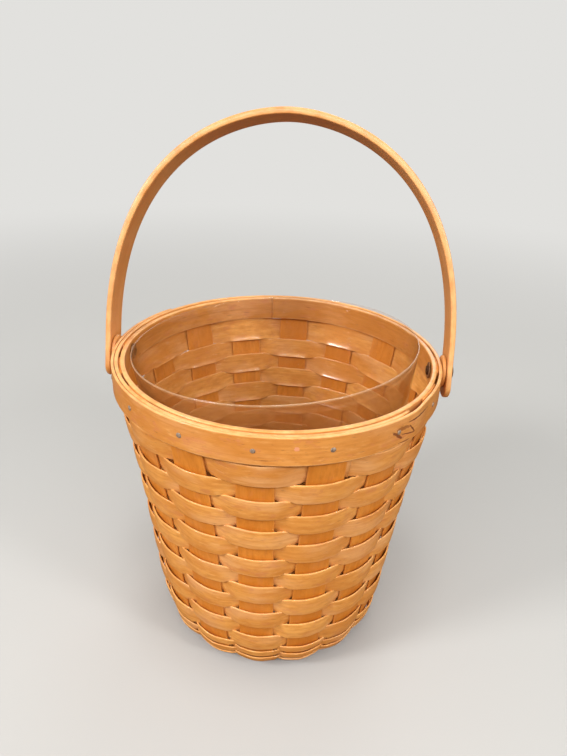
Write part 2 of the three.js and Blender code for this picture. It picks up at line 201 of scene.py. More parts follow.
def shape():
    return bpy.context.scene.basket_shape


def colours():
    return bpy.context.scene.basket_colours


def smooth_step(low, high, value):
    """0 below low, 1 above high, and a smooth rise between."""
    share = np.clip((value - low) / (high - low), 0, 1)
    return share * share * (3 - 2 * share)


def drift(seed, places, waves=5, longest=1.0):
    """A slow random wander with a mean of 0 and a size of about 1, the same for the same seed."""
    random = np.random.RandomState(seed)
    total = np.zeros_like(places, dtype=float)
    for wave in range(1, waves + 1):
        phase = random.uniform(0, 2 * pi)
        size = random.uniform(0.4, 1.0) / wave**0.5
        total += size * np.sin(2 * pi * wave * places / longest + phase)
    return total / 1.4


def cubic(start, start_reach, end_reach, end, steps):
    """Points of a cubic curve from start to end."""
    share = np.linspace(0, 1, steps)[:, None]
    back = 1 - share
    points = [np.array(point, dtype=float) for point in (start, start_reach, end_reach, end)]
    return (
        back**3 * points[0] + 3 * back**2 * share * points[1]
        + 3 * back * share**2 * points[2] + share**3 * points[3]
    )


def along_line(points):
    """Distance along a line of points, and the line's direction at each."""
    distance = np.concatenate([[0], np.cumsum(np.hypot(*np.diff(points, axis=0).T))])
    direction = np.gradient(points, distance, axis=0)
    return distance, direction / np.hypot(*direction.T)[:, None]


def read_off(places, distance, *columns):
    """What each column of values along a line comes to at the places."""
    return [np.interp(places, distance, column) for column in columns]


class WallLine:
    """The middle line of the wall, as radius and height, by distance from the base's centre."""

    def __init__(self, sizes):
        centre = np.array([sizes.base_radius, sizes.base_middle + sizes.heel_radius])
        turns = np.linspace(-pi / 2, -sizes.heel_slope, 40)
        heel = centre + sizes.heel_radius * np.column_stack([np.cos(turns), np.sin(turns)])
        shoulder = np.array([sizes.shoulder_radius, RIM_HEIGHT - sizes.shoulder_drop])
        up = np.array([sin(sizes.heel_slope), cos(sizes.heel_slope)])
        down = -np.array([sin(sizes.shoulder_slope), cos(sizes.shoulder_slope)])
        side = cubic(heel[-1], heel[-1] + sizes.heel_reach * up,
                     shoulder + sizes.shoulder_reach * down, shoulder, 400)
        base = np.column_stack([np.linspace(0, sizes.base_radius, 60)[:-1], np.full(59, sizes.base_middle)])
        top = np.array([[sizes.shoulder_radius, RIM_HEIGHT]])
        points = np.vstack([base, heel, side[1:], top])
        self.distance, tangent = along_line(points)
        self.radius, self.height = points.T
        self.normal_out = tangent[:, 1]
        self.normal_up = -tangent[:, 0]
        self.rim = self.distance[-1]
        self.base_edge = sizes.base_radius
        self.heel_top = sizes.base_radius + sizes.heel_radius * (pi / 2 - sizes.heel_slope)

    def at(self, along, offset):
        """Radius and height at a distance along the line, moved outward by an offset."""
        radius, height, out, up = read_off(
            along, self.distance, self.radius, self.height, self.normal_out, self.normal_up)
        return radius + offset * out, height + offset * up

    def stake_width(self, along, sizes):
        """Width of a splint: narrow at the middle of the base, full from the heel up."""
        share = np.clip((along - sizes.waist_half) / (self.heel_top - sizes.waist_half), 0, 1)
        return sizes.waist_width + (sizes.stake_width - sizes.waist_width) * share


def stake_angle(stake):
    return -pi / 2 + STAKE_TURN + stake * STAKE_PITCH


def weaving_rows(wall, sizes):
    """The rows from the rim down: node name, lower and upper edge along the wall, and kind."""
    first_top = wall.rim - sizes.shoulder_drop
    side_top = first_top - sizes.first_row
    row_pitch = (side_top - wall.base_edge) / (SIDE_ROWS - 1 + HEEL_ROWS * HEEL_ROW_SHARE)
    side_bottom = side_top - row_pitch * (SIDE_ROWS - 1)
    heel_pitch = row_pitch * HEEL_ROW_SHARE
    base_pitch = (wall.base_edge - sizes.waist_end) / BASE_ROWS
    rows = [("side_weaver_1", side_top, first_top, "side")]
    for kind, first, count, top, pitch in (
        ("side", 2, SIDE_ROWS - 1, side_top, row_pitch),
        ("heel", 1, HEEL_ROWS, side_bottom, heel_pitch),
        ("base", 1, BASE_ROWS, wall.base_edge, base_pitch),
    ):
        for row in range(count):
            high = top - pitch * row
            rows.append((f"{kind}_weaver_{first + row}", high - pitch, high, kind))
    return rows


class Section:
    """A rounded rectangle for a strip: its points across (first) and through (second)."""

    def __init__(self, shares=(-1, -0.93, -0.62, -0.22, 0.22, 0.62, 0.93, 1), corner_turns=(70, 40, 10)):
        corner = [(cos(radians(turn)), sin(radians(turn))) for turn in corner_turns]
        loop = [(share, 0, 1, 1) for share in shares]
        loop += [(1, out, 1, up) for out, up in corner]
        loop += [(1, out, -1, -up) for out, up in reversed(corner)]
        loop += [(share, 0, -1, -1) for share in reversed(shares)]
        loop += [(-1, -out, -1, -up) for out, up in corner]
        loop += [(-1, -out, 1, up) for out, up in reversed(corner)]
        self.side, self.round_side, self.face, self.round_face = np.array(loop).T
        self.edge = (np.abs(self.side) == 1).astype(float)
        self.inner = (self.face < 0).astype(float)

    def points(self, width, thickness, rounding, soft=1.0):
        """Across and through places for each width, thickness and rounding, longer across where soft."""
        width, thickness, rounding = (np.atleast_1d(value)[:, None] for value in (width, thickness, rounding))
        across = self.side * (width / 2 - soft * rounding) + self.round_side * soft * rounding
        through = self.face * (thickness / 2 - rounding) + self.round_face * rounding
        return across, through


def loft(name, rings, grain, section):
    """A closed mesh through rings of points, with the grain's places, the edges and the inner face kept."""
    count, size, _ = rings.shape
    index = np.arange(count * size).reshape(count, size)
    beside = np.roll(index, -1, axis=1)
    quads = np.stack([index[:-1], beside[:-1], beside[1:], index[1:]], axis=-1).reshape(-1, 4)
    faces = [tuple(quad) for quad in quads.tolist()]
    faces.append(tuple(reversed(index[0].tolist())))
    faces.append(tuple(index[-1].tolist()))
    points = rings.reshape(-1, 3)
    mesh = bpy.data.meshes.new(name)
    mesh.from_pydata(points.tolist(), [], faces)
    turn_outward(mesh)
    shares = {"edge": np.tile(section.edge, count), "inner": np.tile(section.inner, count)}
    finish_mesh(mesh, grain.reshape(-1, 3), **shares)
    return new_object(name, mesh)


def turn_outward(mesh):
    """Flips the faces if the mesh is inside out."""
    mesh.calc_loop_triangles()
    points = np.array([vertex.co for vertex in mesh.vertices])
    corners = points[np.array([triangle.vertices for triangle in mesh.loop_triangles])]
    volume = np.einsum("ij,ij->i", corners[:, 0], np.cross(corners[:, 1], corners[:, 2])).sum()
    if volume < 0:
        mesh.flip_normals()


def finish_mesh(mesh, grain, **shares):
    """Smooth shading, and the grain's own coordinates and the named shares for the materials."""
    mesh.shade_smooth()
    attribute = mesh.attributes.new("grain", "FLOAT_VECTOR", "POINT")
    attribute.data.foreach_set("vector", np.ascontiguousarray(grain, dtype=np.float32).ravel())
    for name, share in shares.items():
        attribute = mesh.attributes.new(name, "FLOAT", "POINT")
        attribute.data.foreach_set("value", np.ascontiguousarray(share, dtype=np.float32))
    mesh.validate()
    mesh.update()


def new_object(name, mesh):
    piece = bpy.data.objects.new(name, mesh)
    bpy.context.scene.collection.objects.link(piece)
    return piece


def stands_for(piece, node, body, material):
    """The piece takes the node's place, its motion and its finish."""
    piece.data.materials.clear()
    piece.data.materials.append(material)
    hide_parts(node)
    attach(piece, body)


def grain_places(along, across, seed):
    """Coordinates for the grain: along, across, and a number that sets each piece apart."""
    return np.stack(np.broadcast_arrays(along, across, float(seed)), axis=-1)


def turned(name, profile, sides, seed=0):
    """A solid turned about its own Z axis, from points of radius and distance along the axis."""
    turns = np.linspace(0, 2 * pi, sides, endpoint=False)
    closed = profile[0] == profile[-1]
    points = []
    faces = []
    grain = []
    rows = []
    for radius, reach in profile[:-1] if closed else profile:
        if radius < AXIS_REACH:
            rows.append([len(points)] * sides)
            points.append((0, 0, reach))
            grain.append((0, reach, seed))
            continue
        rows.append([len(points) + step for step in range(sides)])
        for turn in turns:
            points.append((radius * cos(turn), radius * sin(turn), reach))
            grain.append((radius * cos(turn), radius * sin(turn), seed + reach))
    if closed:
        rows.append(rows[0])
    for low, high in zip(rows, rows[1:]):
        for step in range(sides):
            after = (step + 1) % sides
            # Corners that meet on the axis count once
            corners = dict.fromkeys((low[step], low[after], high[after], high[step]))
            if len(corners) > 2:
                faces.append(tuple(corners))
    mesh = bpy.data.meshes.new(name)
    mesh.from_pydata(points, [], faces)
    turn_outward(mesh)
    finish_mesh(mesh, np.array(grain, dtype=float), edge=np.zeros(len(grain)))
    return new_object(name, mesh)


def arc(radius, reach, width, height, turns):
    """Part of an oval in the profile of a turned solid, with its middle at a radius and a reach."""
    return [(radius + width * cos(turn), reach + height * sin(turn)) for turn in turns]


def point_outward(piece, angle, height):
    """Turns a piece's own Z axis to point out from the basket's axis, and keeps that in its mesh."""
    turn = Matrix.Rotation(angle, 4, "Z") @ Matrix.Rotation(pi / 2, 4, "Y")
    piece.data.transform(Matrix.Translation((0, 0, height)) @ turn)


class Nodes:
    """Short ways to place and join the nodes of one tree."""

    def __init__(self, tree):
        self.tree = tree
        self.count = 0

    def add(self, kind, settings=None, **inputs):
        node = self.tree.nodes.new(kind)
        node.location = (200 * (self.count % 8), -260 * (self.count // 8))
        self.count += 1
        for key, value in (settings or {}).items():
            setattr(node, key, value)
        for key, value in inputs.items():
            self.feed(node, key.replace("_", " "), value)
        return node

    def feed(self, node, key, value):
        """Links a socket to the node's input, or sets the input's own value."""
        socket = node.inputs[key]
        if isinstance(value, bpy.types.NodeSocket):
            self.tree.links.new(value, socket)
        else:
            socket.default_value = value

    def feed_all(self, node, values):
        for key, value in values.items():
            self.feed(node, key, value)
        return node

    def attribute(self, name, output="Fac"):
        return self.add("ShaderNodeAttribute", {"attribute_name": name}).outputs[output]

    def noise(self, place, scale, detail=3.0, roughness=0.55):
        """Noise from 0 to 1 with so many waves a metre along, across and from piece to piece."""
        stretched = self.add("ShaderNodeVectorMath", {"operation": "MULTIPLY"})
        self.feed_all(stretched, {0: place, 1: scale})
        node = self.add("ShaderNodeTexNoise", Scale=1.0, Detail=detail, Roughness=roughness)
        self.feed(node, "Vector", stretched.outputs[0])
        return node.outputs["Fac"]

    def spread(self, value, low, high, to_low=0.0, to_high=1.0):
        node = self.add("ShaderNodeMapRange", {"interpolation_type": "SMOOTHSTEP"})
        limits = {"From Min": low, "From Max": high, "To Min": to_low, "To Max": to_high}
        return self.feed_all(node, {"Value": value, **limits}).outputs["Result"]

    def distance(self, place):
        """How far a place lies from the origin."""
        node = self.add("ShaderNodeVectorMath", {"operation": "LENGTH"})
        self.feed(node, 0, place)
        return node.outputs["Value"]

    def math(self, operation, first, second):
        node = self.add("ShaderNodeMath", {"operation": operation})
        return self.feed_all(node, {0: first, 1: second}).outputs[0]

    def times(self, first, second):
        return self.math("MULTIPLY", first, second)

    def plus(self, first, second):
        return self.math("ADD", first, second)

    def minus(self, first, second):
        return self.math("SUBTRACT", first, second)

    def mix(self, share, first, second):
        """The first colour, and the second as far as the share goes."""
        node = self.add("ShaderNodeMix", {"data_type": "RGBA"})
        return self.feed_all(node, {0: share, 6: first, 7: second}).outputs[2]

    def mix_shaders(self, share, first, second):
        node = self.add("ShaderNodeMixShader")
        return self.feed_all(node, {0: share, 1: first, 2: second}).outputs[0]


# Noises of split wood: waves a metre along, across and from piece to piece, detail, roughness
WOOD_NOISES = {
    "tone": ((9, 12, 3.7), 2.0, 0.55),
    "patches": ((24, 60, 4.3), 3.0, 0.5),
    "mottle": ((120, 360, 2.9), 3.0, 0.5),
    "clouds": ((38, 120, 1.7), 4.0, 0.55),
    "bands": ((7, 520, 2.3), 4.0, 0.55),
    "fibres": ((60, 2600, 3.1), 3.0, 0.65),
    "pores": ((190, 1500, 5.3), 2.0, 0.55),
    "blots": ((75, 130, 6.1), 5.0, 0.7),
    "scuffs": ((110, 420, 8.9), 4.0, 0.6),
}

# Layers of colour, the lowest first: noise, where it starts and is full, strength, input that
# scales it, and colour
WOOD_LAYERS = (
    ("tone", 0.34, 0.68, 1.0, "Clouds", "Dark"),
    ("clouds", 0.42, 0.7, 0.6, "Clouds", "Dark"),
    ("mottle", 0.4, 0.66, 0.75, "Clouds", "Dark"),
    ("patches", 0.45, 0.68, 1.0, "Scuffs", "Blush"),
    ("bands", 0.44, 0.68, 1.0, "Streaks", "Dark"),
    ("fibres", 0.35, 0.7, 0.24, "", "Dark"),
    ("scuffs", 0.55, 0.8, 1.0, "Scuffs", "Pale"),
    ("blots", 0.54, 0.66, 0.75, "Flecks", "Stain"),
    ("pores", 0.63, 0.76, 0.8, "Flecks", "Knot"),
)


def wood_grain_group():
    """Shader group for split wood: colour, roughness and height from the grain's coordinates."""
    name = "Splint grain"
    if name in bpy.data.node_groups:
        return bpy.data.node_groups[name]
    tree = bpy.data.node_groups.new(name, "ShaderNodeTree")
    sockets = {
        "Vector": ("Place",),
        "Color": ("Light", "Dark", "Pale", "Blush", "Stain", "Knot"),
        "Float": ("Edge", "Streaks", "Flecks", "Clouds", "Scuffs", "Wear"),
    }
    for kind, labels in sockets.items():
        for label in labels:
            tree.interface.new_socket(name=label, in_out="INPUT", socket_type=f"NodeSocket{kind}")
    for label, kind in (("Color", "Color"), ("Roughness", "Float"), ("Height", "Float")):
        tree.interface.new_socket(name=label, in_out="OUTPUT", socket_type=f"NodeSocket{kind}")
    nodes = Nodes(tree)
    given = nodes.add("NodeGroupInput").outputs
    noises = {label: nodes.noise(given["Place"], *waves) for label, waves in WOOD_NOISES.items()}
    tint = given["Light"]
    shares = {}
    for label, start, full, strength, scaled_by, layer_tint in WOOD_LAYERS:
        shares[label] = nodes.spread(noises[label], start, full)
        if scaled_by:
            shares[label] = nodes.times(shares[label], given[scaled_by])
        tint = nodes.mix(nodes.times(shares[label], strength), tint, given[layer_tint])
    # Edges turn pale: partly wear, partly a painted highlight where the rounded edges catch the light
    worn_and_lit_edges = nodes.times(given["Edge"], nodes.spread(noises["scuffs"], 0.3, 0.62, 0.1, 1.0))
    ridges = nodes.plus(noises["fibres"], nodes.times(noises["bands"], 0.6))
    nodes.add(
        "NodeGroupOutput",
        Color=nodes.mix(nodes.times(worn_and_lit_edges, given["Wear"]), tint, given["Pale"]),
        Roughness=nodes.spread(noises["fibres"], 0.2, 0.8, 0.34, 0.56),
        Height=nodes.minus(ridges, shares["pores"]),
    )
    return tree


def start_material(name):
    """A new material with its nodes, its Principled shader and the node maker."""
    material = bpy.data.materials.new(name)
    material.use_nodes = True
    shader = material.node_tree.nodes["Principled BSDF"]
    return material, shader, Nodes(material.node_tree)


def paint(name):
    """One of the basket's colours, in the form that a shader takes."""
    return (*getattr(colours(), name), 1.0)


def wood_material(name, wood, coat, coat_roughness, **shares):
    """Lacquered split wood, its grain along the strip. The shares say how strong each marking is."""
    material, shader, nodes = start_material(name)
    grain = nodes.add("ShaderNodeGroup", {"node_tree": wood_grain_group()})
    nodes.feed_all(grain, {
        "Place": nodes.attribute("grain", "Vector"),
        "Edge": nodes.attribute("edge"),
        "Light": paint(f"{wood}_light"),
        "Dark": paint(f"{wood}_dark"),
        "Pale": paint("pale_wear_and_sheen"),
        "Blush": paint("blush"),
        "Stain": paint("stain"),
        "Knot": paint("knot"),
        **shares,
    })
    bump = nodes.add("ShaderNodeBump", Strength=0.5, Distance=0.00016, Height=grain.outputs["Height"])
    nodes.feed_all(shader, {
        "Base Color": grain.outputs["Color"],
        "Roughness": grain.outputs["Roughness"],
        "Normal": bump.outputs["Normal"],
        "Coat Weight": coat,
        "Coat Roughness": coat_roughness,
        "IOR": WOOD_IOR,
    })
    return material, shader, nodes, grain, bump


def metal_material(name, tint, roughness, metallic):
    """Dull, handled metal with small stains."""
    material, shader, nodes = start_material(name)
    stains = nodes.noise(nodes.attribute("grain", "Vector"), (700, 700, 700), 4.0)
    stained = (*(0.45 * value for value in paint(tint)[:3]), 1.0)
    bump = nodes.add("ShaderNodeBump", Strength=0.4, Distance=0.0001, Height=stains)
    nodes.feed_all(shader, {
        "Base Color": nodes.mix(nodes.spread(stains, 0.4, 0.65), paint(tint), stained),
        "Roughness": nodes.spread(stains, 0.3, 0.7, roughness, roughness + 0.25),
        "Normal": bump.outputs["Normal"],
        "Metallic": metallic,
    })
    return material


def liner_material(lip):
    """Clear moulded plastic: a gloss over a brown veil, strong on the scuffed outside and paler on the lip.
    The veil's brown is partly the haze of scuffs and partly a painted reflection of the wood round the liner;
    the lip's paler tint is a painted light line along the clear bead.
    """
    material, shader, nodes = start_material("Clear plastic")
    place = nodes.attribute("grain", "Vector")
    haze = nodes.noise(place, (30, 30, 30), 3.0)
    height = nodes.add("ShaderNodeSeparateXYZ", Vector=place).outputs["Z"]
    on_lip = nodes.spread(height, lip - 0.0016, lip - 0.0004)
    bump = nodes.add("ShaderNodeBump", Strength=0.25, Distance=0.0008, Height=haze)
    nodes.feed_all(shader, {
        # The paler lip is a painted light line along the clear bead
        "Base Color": nodes.mix(on_lip, paint("liner"), paint("liner_lip_light_line")),
        "Roughness": nodes.spread(haze, 0.3, 0.7, 0.08, 0.2),
        "Normal": bump.outputs["Normal"],
        "Alpha": 0.6,
        "IOR": PLASTIC_IOR,
    })
    behind = nodes.add("ShaderNodeNewGeometry").outputs["Backfacing"]
    glance = nodes.add("ShaderNodeLayerWeight", Blend=0.5).outputs["Facing"]
    near_side = nodes.times(nodes.attribute("edge"), nodes.minus(1.0, behind))
    # The brown veil on the outside is partly scuff haze and partly a painted reflection of the wood beside it
    scuff_haze_and_reflection = nodes.times(near_side, nodes.spread(haze, 0.25, 0.75, 0.66, 0.92))
    # At glancing angles the brown veil thickens: a painted reflection of the wood
    veil = nodes.plus(scuff_haze_and_reflection, nodes.spread(glance, 0.55, 1.0, 0.03, 0.4))
    veil = nodes.math("MAXIMUM", veil, nodes.times(on_lip, 0.12))
    unshadowed = nodes.minus(1.0, nodes.add("ShaderNodeLightPath").outputs["Is Shadow Ray"])
    veil = nodes.times(veil, nodes.spread(unshadowed, 0.0, 1.0, 0.25, 1.0))
    clear = nodes.add("ShaderNodeBsdfTransparent", Color=(1, 1, 1, 1))
    gloss = nodes.add("ShaderNodeBsdfGlossy", Roughness=0.04, Normal=bump.outputs["Normal"])
    mirror = nodes.plus(nodes.times(nodes.math("POWER", glance, 4.0), 0.6), 0.045)
    veiled = nodes.mix_shaders(veil, clear.outputs[0], shader.outputs[0])
    glossed = nodes.mix_shaders(nodes.times(mirror, unshadowed), veiled, gloss.outputs[0])
    nodes.feed(material.node_tree.nodes["Material Output"], "Surface", glossed)
    return material


def outer_band_rise(turn):
    """How far the middle of the outer band lies above the bands' middle, by turn from its tip."""
    return OUTER_BAND_RISE - (OUTER_BAND_RISE + OUTER_BAND_DROP) * turn / (2 * pi + OUTER_OVERLAP)


def outer_band_bottom(angle):
    """The lowest edge of the outer band in a direction from the basket's axis."""
    turn = (angle - OUTER_TIP) % (2 * pi)
    lowest_turn = np.where(turn < OUTER_OVERLAP, turn + 2 * pi, turn)
    return BAND_MIDDLE + outer_band_rise(lowest_turn) - BAND_HEIGHT / 2


def outer_band_inner(sizes, turn):
    """The inner face of the outer band, by turn from its tip: the first half turn lies on the rest."""
    low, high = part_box("outer_rim_band")
    layer = sizes.outer_band_thickness + sizes.clearance
    under = max(-low.x, high.x, -low.y, high.y) - sizes.outer_band_thickness - layer
    return under + layer * (1 - smooth_step(OUTER_OVERLAP, OUTER_OVERLAP + OUTER_STEP, turn))


def on_wall(radius, angle, height):
    """Points in space from radius, turn round the axis, and height."""
    return np.stack([radius * np.cos(angle), radius * np.sin(angle), height], axis=-1)


class BASKET_OT_stage(Operator):
    """Set up the floor, the background, the lamps and the camera"""
    bl_idname = "basket.stage"
    bl_label = "Stage and camera"

    floor_half = 8.0
    # How far out the floor starts to fade into the background, and where it has
    fade = (0.35, 1.5)
    world_strength = 0.76
    aim_height = 0.14
    # Place, width and height, power
    lamps = {
        "key_lamp": ((-1.15, -0.75, 1.1), (0.4, 0.4), 16),
        "fill_lamp": ((1.1, -0.75, 1.0), (0.35, 0.35), 8.5),
        "front_lamp": ((0.0, -1.05, 1.05), (2.3, 0.07), 12),
        "top_lamp": ((0.0, -0.2, 1.6), (0.3, 0.3), 4),
        "back_lamp": ((0.3, 1.2, 1.0), (0.8, 0.8), 4),
    }

    def execute(self, context):
        half = self.floor_half
        corners = [(-half, -half, 0), (half, -half, 0), (half, half, 0), (-half, half, 0)]
        mesh = bpy.data.meshes.new("floor")
        mesh.from_pydata(corners, [], [(0, 1, 2, 3)])
        mesh.materials.append(self.floor_material())
        new_object("floor", mesh)
        self.light_the_world(context.scene)
        for name, (place, size, power) in self.lamps.items():
            self.add_lamp(name, place, size, power)
        self.add_camera(context.scene)
        context.scene.view_settings.view_transform = "Standard"
        return {"FINISHED"}

    def floor_material(self):
        """A pale floor that fades into the background, and throws back little light."""
        material, shader, nodes = start_material("Plain floor")
        nodes.feed_all(shader, {"Base Color": paint("floor_near"), "Roughness": 0.95})
        place = nodes.add("ShaderNodeNewGeometry").outputs["Position"]
        backdrop = nodes.add("ShaderNodeEmission", Color=paint("floor"), Strength=1.0)
        dim = nodes.add("ShaderNodeBsdfDiffuse", Color=paint("floor_bounce"))
        far = nodes.spread(nodes.distance(place), *self.fade)
        faded = nodes.mix_shaders(far, shader.outputs[0], backdrop.outputs[0])
        looked_at = nodes.mix_shaders(self.seen(nodes), dim.outputs[0], faded)
        nodes.feed(material.node_tree.nodes["Material Output"], "Surface", looked_at)
        return material

    def seen(self, nodes):
        """1 for what the camera sees, straight on or through something clear."""
        path = nodes.add("ShaderNodeLightPath")
        return nodes.math("MAXIMUM", path.outputs["Is Camera Ray"], path.outputs["Is Transmission Ray"])

    def light_the_world(self, scene):
        world = bpy.data.worlds.new("Pale studio")
        world.use_nodes = True
        scene.world = world
        nodes = Nodes(world.node_tree)
        strength = nodes.spread(self.seen(nodes), 0.0, 1.0, self.world_strength, 1.0)
        nodes.feed_all(world.node_tree.nodes["Background"], {"Color": paint("floor"), "Strength": strength})

    def add_lamp(self, name, place, size, power):
        data = bpy.data.lights.new(name, "AREA")
        data.shape = "ELLIPSE"
        data.size, data.size_y = size
        data.energy = power
        lamp = bpy.data.objects.new(name, data)
        lamp.location = place
        aim = Vector((0, 0, self.aim_height)) - Vector(place)
        lamp.rotation_euler = aim.to_track_quat("-Z", "Y").to_euler()
        bpy.context.scene.collection.objects.link(lamp)

    def add_camera(self, scene):
        data = bpy.data.cameras.new("camera")
        data.sensor_fit = "HORIZONTAL"
        data.sensor_width = SENSOR_WIDTH
        data.lens = FOCAL_PIXELS / PICTURE_WIDTH * SENSOR_WIDTH
        data.clip_start = 0.01
        camera = bpy.data.objects.new("camera", data)
        scene.collection.objects.link(camera)
        turn = Matrix.Rotation(-CAMERA_YAW, 4, "Z") @ Matrix.Rotation(pi / 2 - CAMERA_PITCH, 4, "X")
        rolled = turn @ Matrix.Rotation(CAMERA_ROLL, 4, "Z")
        camera.matrix_world = Matrix.Translation(CAMERA_PLACE) @ rolled
        scene.camera = camera


class BASKET_OT_stakes(Operator):
    """Build the through splints that cross under the base and stand up as the stakes"""
    bl_idname = "basket.stakes"
    bl_label = "Stakes"

    # How far the stakes' ends stay below the top of the rim, and how much more at most
    end_gap = 0.0006
    end_stray = 0.0012
    steps = 230

    def execute(self, context):
        sizes = shape()
        wall = WallLine(sizes)
        material = wood_material("Stake splint", "stake", 0.3, 0.15,
                                 Streaks=0.3, Flecks=0.25, Clouds=0.8, Scuffs=0.08, Wear=0.1)[0]
        for splint in range(SPLINTS):
            piece = self.build_splint(splint, wall, sizes)
            stands_for(piece, f"stake_splint_{splint + 1}", "basket", material)
        return {"FINISHED"}

    def build_splint(self, splint, wall, sizes):
        random = np.random.RandomState(100 + splint)
        ends = wall.rim - self.end_gap - random.uniform(0, self.end_stray, 2)
        places = np.linspace(-ends[0], ends[1], self.steps)
        reach = np.abs(places)
        width = wall.stake_width(reach, sizes) + sizes.unevenness * drift(200 + splint, places, 6, 0.3)
        section = Section()
        across, through = section.points(width, sizes.stake_thickness, 0.3 * sizes.stake_thickness)
        radius, height = wall.at(reach[:, None], -through)
        flat = np.sqrt(np.maximum(radius**2 - across**2, 0))
        rounding = smooth_step(sizes.waist_half, wall.base_edge, reach)[:, None]
        forward = np.sign(places)[:, None] * (radius + (flat - radius) * rounding)
        pitch = sizes.stake_thickness + sizes.clearance
        stack = pitch * splint + sizes.stake_thickness / 2 - sizes.base_middle
        height = height + stack * (1 - smooth_step(sizes.waist_half, sizes.waist_end, reach))[:, None]
        angle = stake_angle(splint)
        rings = np.stack([
            forward * cos(angle) - across * sin(angle),
            forward * sin(angle) + across * cos(angle),
            height,
        ], axis=-1)
        grain = grain_places(places[:, None], across, 3.7 * splint + 11)
        return loft(f"stake_splint_{splint + 1}_wood", rings, grain, section)


class BASKET_OT_weavers(Operator):
    """Weave the rows of the wall, the heel and the base"""
    bl_idname = "basket.weavers"
    bl_label = "Weavers"

    steps_per_stake = 18
    # How far each end laps past the first stake, as a share of the way to the next
    lap = 0.36
    # Shares of the way between stakes: how far past a stake's edge a weaver stays flat on it, and
    # the most from the stake's middle
    edge_margin = 0.01
    edge_most = 0.42
    # Share of the clearance that a weaver keeps from a stake
    touch = 0.2
    # Height of a heel weaver over a stake, in rows, and how far a weaver's middle bows out there
    heel_span = 1.4
    crown = 0.0003
    # Where the lower edge starts to curl inside, from the middle (0) to the edge (1)
    curl_start = 0.4
    lacquer_outside = 0.3
    lacquer_roughness = 0.1
    section = Section((-1, -0.95, -0.88, -0.78, -0.66, -0.5, -0.25, 0.1, 0.45, 0.75, 0.93, 1))

    def execute(self, context):
        sizes = shape()
        wall = WallLine(sizes)
        material, shader, nodes = wood_material(
            "Weaver splint", "weaver", self.lacquer_outside, self.lacquer_roughness,
            Streaks=0.35, Flecks=0.5, Clouds=0.7, Scuffs=0.55, Wear=0.3)[:3]
        # The lacquer is whole inside the basket and worn thin outside
        lacquer = nodes.spread(nodes.attribute("inner"), 0.0, 1.0, self.lacquer_outside, 1.0)
        nodes.feed(shader, "Coat Weight", lacquer)
        for number, (node, low, high, kind) in enumerate(weaving_rows(wall, sizes), start=1):
            piece = self.weave(number, node, low, high, kind, wall, sizes)
            stands_for(piece, node, "basket", material)
        return {"FINISHED"}

    def weave(self, row, node, low, high, kind, wall, sizes):
        random = np.random.RandomState(300 + row)
        count = int((STAKES + 2 * self.lap) * self.steps_per_stake) + 1
        stakes = np.linspace(-self.lap, STAKES + self.lap, count)
        turn = stakes * STAKE_PITCH
        radius = float(wall.at((low + high) / 2, 0)[0])
        half_stake = float(wall.stake_width((low + high) / 2, sizes)) / 2
        edge = min(half_stake / (radius * STAKE_PITCH) + self.edge_margin, self.edge_most)
        outside = np.abs((stakes + 1) % 2 - 1)
        swing = -np.cos(pi * np.clip((outside - edge) / (1 - 2 * edge), 0, 1))
        offset = swing * ((sizes.stake_thickness + sizes.weaver_thickness) / 2 + self.touch * sizes.clearance)
        upright = smooth_step(0.2, 0.7, float(np.interp(low, wall.distance, wall.normal_out)))
        offset += upright * self.bulge(outside, kind, sizes) + self.lap_offset(stakes, sizes)
        bottom, top = self.edges(row, low, high, kind, stakes, outside, wall, sizes)
        width = top - bottom
        rounding = 0.42 * sizes.weaver_thickness
        across, through = self.section.points(width, sizes.weaver_thickness, rounding, soft=1.3)
        offsets = offset[:, None] + through
        if kind == "side":
            downward = -2 * across / width[:, None]
            curl = np.clip((downward - self.curl_start) / (1 - self.curl_start), 0, 1) ** 2
            offsets += self.crown * (1 - downward**2) * np.maximum(swing, 0)[:, None]
            offsets -= sizes.span_lip * curl * smooth_step(0.96, 1.0, -swing)[:, None]
        out, up = wall.at((bottom + top)[:, None] / 2 + across, offsets)
        angle = stake_angle(row) + turn[:, None]
        rings = on_wall(out, angle, up)
        seed = random.uniform(0, 40) + 5.3 * row
        grain = grain_places(turn[:, None] * radius, across, seed)
        return loft(f"{node}_wood", rings, grain, self.section)

    def edges(self, row, low, high, kind, stakes, outside, wall, sizes):
        """The lower and upper edge of a row: full width over a stake, pinched where rows cross."""
        span = {"side": sizes.span_width, "heel": (high - low) * self.heel_span, "base": high - low}[kind]
        pinch = smooth_step(0.0, 0.2, np.abs(outside - 0.5) / 0.5)
        extra = pinch * (span - (high - low)) / 2 - sizes.clearance / 4
        stray = (1.0 if kind == "side" else 0.4) * sizes.unevenness
        bottom = low - extra + stray * pinch * drift(400 + row, stakes, 9, STAKES)
        top = high + extra + stray * pinch * drift(500 + row, stakes, 9, STAKES)
        fray = 0.25 * stray
        bottom += fray * drift(800 + row, stakes, 60, STAKES)
        top += fray * drift(900 + row, stakes, 60, STAKES)
        if row == 1:
            outer = outer_band_bottom(stake_angle(row) + stakes * STAKE_PITCH)
            inner = RIM_HEIGHT - BAND_HEIGHT
            band = inner + (outer - inner) * smooth_step(0.35, 0.65, outside)
            top = wall.rim - (RIM_HEIGHT - band) - sizes.clearance
        return bottom, top

    def bulge(self, outside, kind, sizes):
        """How far the strip bows off its stake, outward on the outside and inward on the inside."""
        if kind == "base":
            return 0 * outside
        share = 1.0 if kind == "side" else 1.2
        outer = sizes.span_bulge * np.cos(pi * (1 - outside)) ** 2
        inner = sizes.span_bulge_inside * np.cos(pi * outside) ** 2
        return share * np.where(outside > 0.5, outer, -inner)

